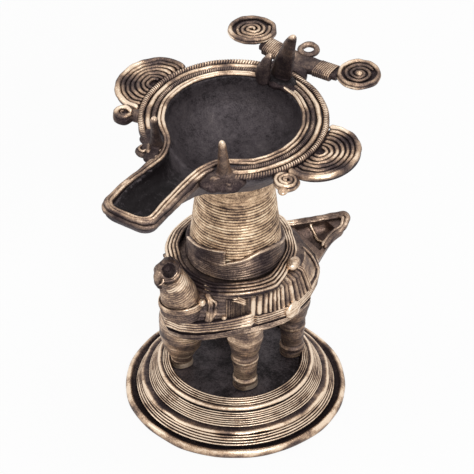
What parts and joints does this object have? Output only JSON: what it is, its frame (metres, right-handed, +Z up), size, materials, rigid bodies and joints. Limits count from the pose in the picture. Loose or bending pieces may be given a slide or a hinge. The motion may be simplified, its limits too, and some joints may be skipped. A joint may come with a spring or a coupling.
{
  "type": "peacock oil lamp",
  "caption": "Cast brass oil lamp: a peacock on a round ringed stand carries a wound stem with a spouted oil dish, spiral ornaments and a looped crossbar.",
  "frame": {"origin": "on the stem's axis at the surface the stand rests on", "axes": "+Z up, -Y the way the spout points, +X the bird's left"},
  "size_m": [0.124, 0.15, 0.1857],
  "materials": {
    "polished_brass": "rubbed bright on the crests of the threads",
    "worn_brass": "half polished, brown in the grooves",
    "patina_brass": "dark brown to black patina, matt"
  },
  "bodies": {
    "root": {"base_shell": "patina_brass", "base_floor": "patina_brass", "base_lip_ring": "polished_brass", "base_lower_coil": "worn_brass", "base_middle_ring": "polished_brass", "base_upper_coil": "worn_brass", "base_top_ring": "polished_brass", "base_inner_coil": "worn_brass", "leg_front_left": "worn_brass", "leg_front_right": "worn_brass", "leg_rear_left": "worn_brass", "leg_rear_right": "worn_brass", "body_shell": "worn_brass", "belly_band": "worn_brass", "belt": "polished_brass", "belt_boss": "polished_brass", "back_collar": "polished_brass", "left_wing": "worn_brass", "right_wing": "worn_brass", "tail_tray": "patina_brass", "tail_border": "polished_brass", "tail_rib_left": "worn_brass", "tail_rib_right": "worn_brass", "neck": "polished_brass", "necklace": "polished_brass", "head": "worn_brass", "beak": "worn_brass", "left_eye": "polished_brass", "right_eye": "polished_brass", "stem_core": "polished_brass", "stem_top_band": "worn_brass", "stem_wrap": "worn_brass", "bowl": "patina_brass", "left_spike": "polished_brass", "right_spike": "worn_brass", "rim_inner_band": "polished_brass", "rim_inner_rope": "worn_brass", "rim_plain_thread": "polished_brass", "rim_outer_rope": "worn_brass", "spout_inner_thread": "polished_brass", "spout_outer_thread": "worn_brass", "left_volute": "worn_brass", "right_volute": "worn_brass", "left_curl": "worn_brass", "right_curl": "worn_brass", "left_junction_curl": "worn_brass", "right_junction_curl": "worn_brass", "horn_mount": "patina_brass", "tall_horn": "patina_brass", "short_horn": "patina_brass", "crossbar_block": "patina_brass", "crossbar": "worn_brass", "left_binding": "worn_brass", "right_binding": "worn_brass", "left_disc": "polished_brass", "right_disc": "polished_brass", "hanging_loop": "worn_brass"}
  },
  "joints": []
}
